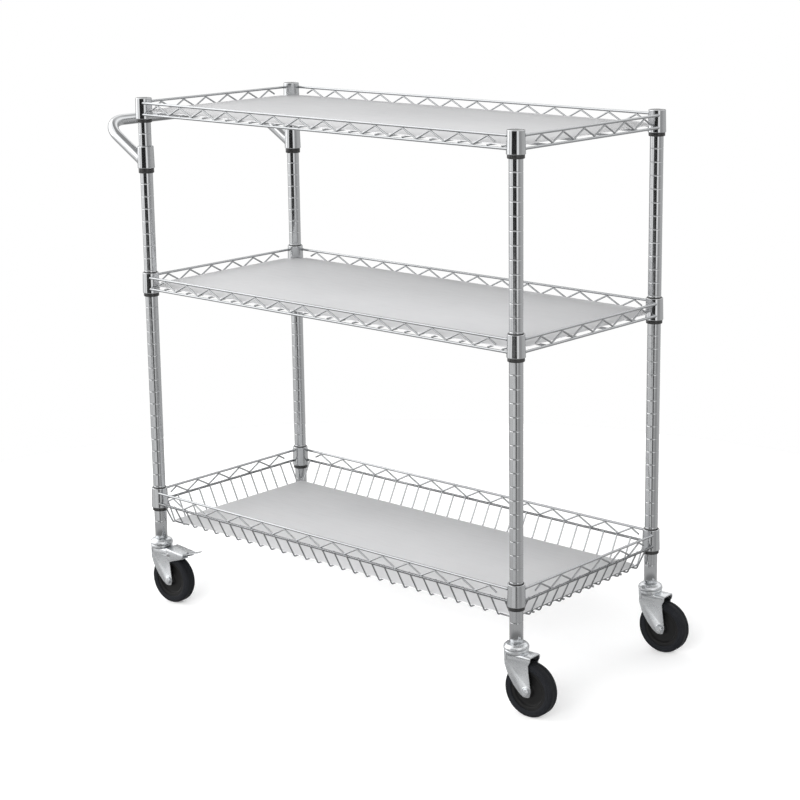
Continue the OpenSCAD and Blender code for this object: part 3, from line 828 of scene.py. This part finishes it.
def make_wheel():
    """Core and tyre. Each outline is one face of the wheel and its mirror image."""
    half = rounded([(6.06, 13.4), (11, 13.4), (12.4, 7), (29.0, 5.2), (31.2, 9.6), (37.0, 10)],
                   [0.4, 1.4, 3, 2.5, 1.5, 0.6], 4)
    core = Shape()
    core.turned(millimetres([*half, *mirrored(half)]), 72, AXLE_AT, "Y", loop=True)
    half = rounded([(37.1, 10), (37.1, 11.4), (39.4, 12.6), (43.4, 13.0), (43.9, 12.4), (44.6, 12.4),
                    (45.1, 12.9), (48.6, 11.9), (50.6, 8.6), (50.8, 0.6)],
                   [0, 0.6, 1.5, 0.2, 0.2, 0.2, 0.2, 2.6, 3, 0], 4)
    seam = [(50.62, 0.25), (50.62, -0.25)]
    tyre = Shape()
    tyre.turned(millimetres([*half, *seam, *mirrored(half)]), 96, AXLE_AT, "Y", loop=True)
    return core.mesh("wheel_core", 32), tyre.mesh("tyre", 50)


LEVER_T = 1.6
LEVER_START = 29 * MM         # where its channel begins
LEVER_SLOPE = -0.1353         # of its top, going down towards the pedal
PEDAL_HALF = 8.3
PEDAL_NECK = 87               # where the pedal has narrowed to that half width
PEDAL_TIP = 107               # where its round end begins


def make_brake():
    """A pressed lever: a channel over the wheel with skirts on the pin, narrowing to a turned-up
    pedal, and a shoe folded down under it."""
    inside = LEG_OUT + 0.45
    outside = inside + LEVER_T
    top = 120
    fold = rounded([(-outside, 82), (-outside, top), (outside, top), (outside, 82)], [0, 3, 3, 0], 4)
    inner = rounded([(inside, 82), (inside, top - LEVER_T), (-inside, top - LEVER_T), (-inside, 82)],
                    [0, 1.6, 1.6, 0], 4)
    channel = Shape()
    channel.prism(millimetres([*fold, *inner]), 20 * MM, 100 * MM,
                  lambda y, z, h: (h, y, z + (h - LEVER_START) * LEVER_SLOPE))
    lever = body_from(channel, "lever_channel")
    side = rounded([(29, 124), (29, 104), (34, 94.5), (40, 92), (50, 96), (72, 103), (77, 107.8),
                    (78.4, 124)], [1, 5, 4, 4, 10, 6, 4, 1], 4, closed=True)
    plan = Shape()
    plan.prism(millimetres(rounded([(28.5, -20), (77, -20), (87, -9), (87, 9), (77, 20), (28.5, 20)],
                                   [2, 3, 0, 0, 3, 2], 4, closed=True)), 75 * MM, 135 * MM)
    combine(lever, [side_cut(side, 24, "lever_side"), body_from(plan, "lever_plan")], "INTERSECT")
    line = rounded([(74, 113.15), (76, 112.88), (80, 112.32), (87, 114.5), (107, 120.75), (109.6, 121.55),
                    (111.4, 122.1)], [0, 0, 6, 0, 0, 0, 0], 6)
    pedal = Shape()
    rings = []
    for i, here in enumerate(line):
        way = (line[min(i + 1, len(line) - 1)] - line[max(i - 1, 0)]).normalized()
        up = Vector((-way.y, way.x))
        half = PEDAL_HALF + 9.2 * min(1, max(0, (PEDAL_NECK - here.x) / 11))
        if here.x > PEDAL_TIP:
            half *= math.sqrt(1 - ((here.x - PEDAL_TIP) / 5.2) ** 2)
        thick = LEVER_T / 2 - 0.03
        ring = rounded([(-half, -thick), (half, -thick), (half, thick), (-half, thick)], 0.5, 2, closed=True)
        rings.append([((here.x + up.x * h) * MM, y * MM, (here.y + up.y * h) * MM) for y, h in ring])
    pedal.rings(rings)
    shoe = Shape()
    shoe.prism(millimetres([(52, 116.2), (52, 107.0), (63.6, 99.2), (66.4, 99.4), (66.8, 101.4), (56, 108.8),
                            (55.0, 115.8)]), -9 * MM, 9 * MM, lambda x, z, h: (x, h, z))
    combine(lever, [body_from(pedal, "lever_pedal"), body_from(shoe, "lever_shoe")], "UNION")
    combine(lever, [cross_hole(2.46, 24, BRAKE_PIN_AT)], "DIFFERENCE")
    mesh = soften(lever, 0.3 * MM, "brake_lever")
    rivet = Shape()
    rivet.turned(millimetres([(0, 1.7), (1.6, 1.5), (2.7, 0.9), (3.1, 0.0), (3.1, -1.0), (0, -1.0)]), 24,
                 (73 * MM, 0, 114.1 * MM))
    return mesh, rivet.mesh("brake_rivet")


def make_pin():
    """A tubular rivet: each end is rolled over and leaves a small hole."""
    rivet = Shape()
    end = [(0, 17.5), (1.5, 17.5), (1.5, 19.6), (2.0, 20.5), (3.1, 20.5), (4.0, 19.9), (4.0, 19.2),
           (2.4, 19.2)]
    rivet.turned(millimetres([*end, *mirrored(end)]), 28, BRAKE_PIN_AT, "Y")
    return rivet.mesh("brake_pin")


def make_plate():
    """The domed race plate, which is fixed under the post."""
    plate = Shape()
    section = rounded([(5.02, 134), (14.5, 134), (19.0, 132.7), (22.3, 129.6), (23.5, 126.4), (23.5, 123.3),
                       (22.1, 123.3), (21.8, 126.6), (20, 128.6), (17, 129.9), (5.02, 129.9)],
                      [0, 1.5, 4, 3, 2, 0.5, 0.4, 1, 1, 0.5, 0], 4, closed=True)
    plate.turned(millimetres(section), 72, loop=True)
    return plate.mesh("race_plate")


def make_stem():
    """The stem that goes up into the post, with its rivet head below."""
    stem = Shape()
    stem.turned(millimetres([(0, 108.4), (5.5, 108.5), (7.6, 109.2), (8.5, 110.4), (8.5, 113.0), (5, 113.1),
                             (5, 168.5), (3.6, 169.9), (0, 169.9)]), 32)
    return stem.mesh("swivel_stem")


FORKS = {True: make_fork(True), False: make_fork(False)}
AXLE = make_axle()
WHEEL_CORE, WHEEL_TYRE = make_wheel()
LEVER, LEVER_RIVET = make_brake()
PIN = make_pin()
PLATE = make_plate()
STEM = make_stem()

plates = []
for p in PLACES:
    braked = p.endswith("left")
    stand = Matrix.Translation((POSTS[p].x, POSTS[p].y, 0)) @ Matrix.Rotation(TURN, 4, "Z")
    swivel, wheel, lever = p + "_swivel", p + "_wheel", p + "_brake_lever"
    place(p + "_stamped_fork", FORKS[braked], ZINC, "zinc", swivel, [p + "_fork"], stand)
    place(p + "_axle_bolt", AXLE, ZINC, "zinc", swivel, [p + "_axle"], stand)
    place(p + "_wheel_core", WHEEL_CORE, CORE, "wheel_core", wheel, [p + "_hub"], stand)
    place(p + "_wheel_tyre", WHEEL_TYRE, TYRE, "tyre", wheel, [p + "_tyre"], stand)
    plates += [place(p + "_race_plate", PLATE, ZINC, "zinc", "frame", matrix=stand),
               place(p + "_stem", STEM, ZINC, "zinc", "frame", matrix=stand)]
    if braked:
        place(p + "_brake_plate", LEVER, ZINC, "zinc", lever, [p + "_brake"], stand)
        place(p + "_brake_rivet", LEVER_RIVET, STEEL, "bright_steel", lever, matrix=stand)
        place(p + "_pivot_rivet", PIN, STEEL, "bright_steel", swivel, [p + "_brake_pin"], stand)
for piece in plates:
    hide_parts("caster_plates" if "plate" in piece.name else "caster_stems")


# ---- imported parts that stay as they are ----

KEPT = {"caster_balls": STEEL, "stem_sockets": SLEEVE, **{p + "_spacer": STEEL for p in PLACES}}
for name, mat in KEPT.items():
    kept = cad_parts[name]
    kept.data.materials.clear()
    kept.data.materials.append(mat)


# ---- studio ----

VIEW_YAW = -40.9
VIEW_PITCH = 12.675
VIEW_ROLL = -0.486
VIEW_FROM = (CENTRE.x + 2.636, CENTRE.y - 2.879, TOP + 0.3845)
# Light on matt surfaces, from the sides and from straight above
SIDE_LIGHT = 1.70
TOP_LIGHT = 0.06
# Brightness that the chrome reflects: above level, overhead, and down to the floor
UP = 1.35
OVERHEAD = 0.42
UNDERFOOT = 0.52
STEEPLY_DOWN = 0.26
FLOOR_R = 1.6
# Brightness around the cart, level with it and a little below: 0 is behind the camera, then
# round by its left hand, straight ahead at 0.5, and back by its right hand
LEVEL_STOPS = [(0.0, 0.02), (0.14, 0.02), (0.165, 1.25), (0.20, 1.30), (0.22, 0.55), (0.25, 1.2),
               (0.33, 1.1), (0.37, 0.55), (0.5, 0.38), (0.66, 0.62), (0.80, 0.55), (0.83, 0.40), (0.90, 0.45),
               (0.925, 1.2), (0.97, 1.1), (0.985, 0.02), (1.0, 0.02)]
LOWER_STOPS = [(0.0, 0.12), (0.025, 0.14), (0.05, 0.85), (0.16, 0.90), (0.19, 0.55), (0.22, 0.80),
               (0.32, 0.72), (0.36, 0.50), (0.5, 0.40), (0.66, 0.60), (0.80, 0.55), (0.83, 0.36),
               (0.93, 0.42), (0.96, 0.65), (0.98, 0.12), (1.0, 0.12)]


def floor_material():
    """Matt white paper, with the least trace of tone in it."""
    mat, tree, shader = material("studio_floor")
    drift = noise(tree, coordinates(tree), 1.5, 3)
    link(tree, ramp(tree, drift, [(0.3, 0.94), (0.7, 0.96)]), shader, "Base Color")
    shader.inputs["Roughness"].default_value = 0.9
    shader.inputs["Specular IOR Level"].default_value = 0.1
    shader.inputs["Emission Color"].default_value = even(1)
    shader.inputs["Emission Strength"].default_value = 0.14
    return mat


def add_floor():
    """A disc just under the wheels, seen by the eye and not in the chrome."""
    disc = Shape()
    disc.rings([[(r * math.cos(a), r * math.sin(a), z) for a in (2 * math.pi * k / 96 for k in range(96))]
                for r, z in ((FLOOR_R, -0.02), (FLOOR_R, -0.0002), (0.6, -0.0002))])
    mesh = disc.mesh("floor")
    mesh.materials.append(floor_material())
    floor = bpy.data.objects.new("floor", mesh)
    bpy.context.scene.collection.objects.link(floor)
    floor.visible_glossy = False


def add_world():
    """White all round for the eye. What the chrome reflects is a room: light overhead, a pale
    floor, and level with the cart a dark stretch on the camera's side with a lamp beside it."""
    world = bpy.data.worlds.new("studio")
    bpy.context.scene.world = world
    world.use_nodes = True
    tree = world.node_tree
    back = next(n for n in tree.nodes if n.type == "BACKGROUND")
    where = node(tree, "ShaderNodeTexCoord")
    turn = node(tree, "ShaderNodeMapping")
    turn.inputs["Rotation"].default_value = (0, 0, math.radians(VIEW_YAW))
    split = node(tree, "ShaderNodeSeparateXYZ")
    heading = node(tree, "ShaderNodeMath", operation="ARCTAN2")
    tree.links.new(where.outputs["Generated"], turn.inputs["Vector"])
    tree.links.new(turn.outputs["Vector"], split.inputs["Vector"])
    tree.links.new(split.outputs["X"], heading.inputs[0])
    tree.links.new(split.outputs["Y"], heading.inputs[1])

    def share(source, low, high, kind="SMOOTHSTEP"):
        """0 where the source is at low, rising to 1 at high."""
        made = node(tree, "ShaderNodeMapRange", interpolation_type=kind)
        made.inputs["From Min"].default_value = low
        made.inputs["From Max"].default_value = high
        tree.links.new(source, made.inputs["Value"])
        return made.outputs["Result"]

    height = split.outputs["Z"]      # of the ray: 1 is straight up, -1 straight down
    around = share(heading.outputs[0], -math.pi, math.pi, "LINEAR")
    level = mixed(tree, share(height, -0.17, -0.24), ramp(tree, around, LEVEL_STOPS),
                  ramp(tree, around, LOWER_STOPS))
    lamps = mixed(tree, share(height, 0.14, 0.50), level, even(UP))
    above = mixed(tree, share(height, 0.55, 0.85), lamps, even(OVERHEAD))
    floor = mixed(tree, share(height, -0.50, -0.72), even(UNDERFOOT), even(STEEPLY_DOWN))
    room = mixed(tree, share(height, -0.26, -0.37), above, floor)
    soft = mixed(tree, share(height, 0.45, 0.85), even(SIDE_LIGHT), even(TOP_LIGHT))
    rays = node(tree, "ShaderNodeLightPath")
    shown = mixed(tree, rays.outputs["Is Glossy Ray"], soft, room)
    link(tree, mixed(tree, rays.outputs["Is Camera Ray"], shown, even(1.0)), back, "Color")
    back.inputs["Strength"].default_value = 1.0


def lamp(name, tilt, strength, spread, reflected=True):
    """A far soft light, turned in degrees about X, Y and Z from straight down."""
    light = bpy.data.lights.new(name, "SUN")
    light.energy = strength
    light.angle = math.radians(spread)
    obj = bpy.data.objects.new(name, light)
    obj.rotation_euler = [math.radians(t) for t in tilt]
    obj.visible_glossy = reflected
    bpy.context.scene.collection.objects.link(obj)


def add_camera():
    """Looks from the front right, a little down, through a slightly shifted lens."""
    cam = bpy.data.cameras.new("camera")
    cam.sensor_width = 36
    cam.lens = 90.70
    cam.shift_x = -0.06
    cam.shift_y = -0.06
    cam.clip_start, cam.clip_end = 0.1, 50
    obj = bpy.data.objects.new("camera", cam)
    bpy.context.scene.collection.objects.link(obj)
    yaw, pitch, roll = math.radians(VIEW_YAW), math.radians(VIEW_PITCH), math.radians(VIEW_ROLL)
    ahead = Vector((math.sin(yaw) * math.cos(pitch), math.cos(yaw) * math.cos(pitch), -math.sin(pitch)))
    right = Vector((math.cos(yaw), -math.sin(yaw), 0))
    up = right.cross(ahead)
    right, up = (right * math.cos(roll) + up * math.sin(roll), up * math.cos(roll) - right * math.sin(roll))
    turn = Matrix((right, up, -ahead)).transposed().to_4x4()
    obj.matrix_world = Matrix.Translation(VIEW_FROM) @ turn
    bpy.context.scene.camera = obj


add_floor()
add_world()
lamp("key", (56, 0, -68), 1.3, 80)
lamp("fill", (76, 0, 18), 3.2, 45, reflected=False)
add_camera()
view = bpy.context.scene.view_settings
view.view_transform = "Standard"
view.look = "None"
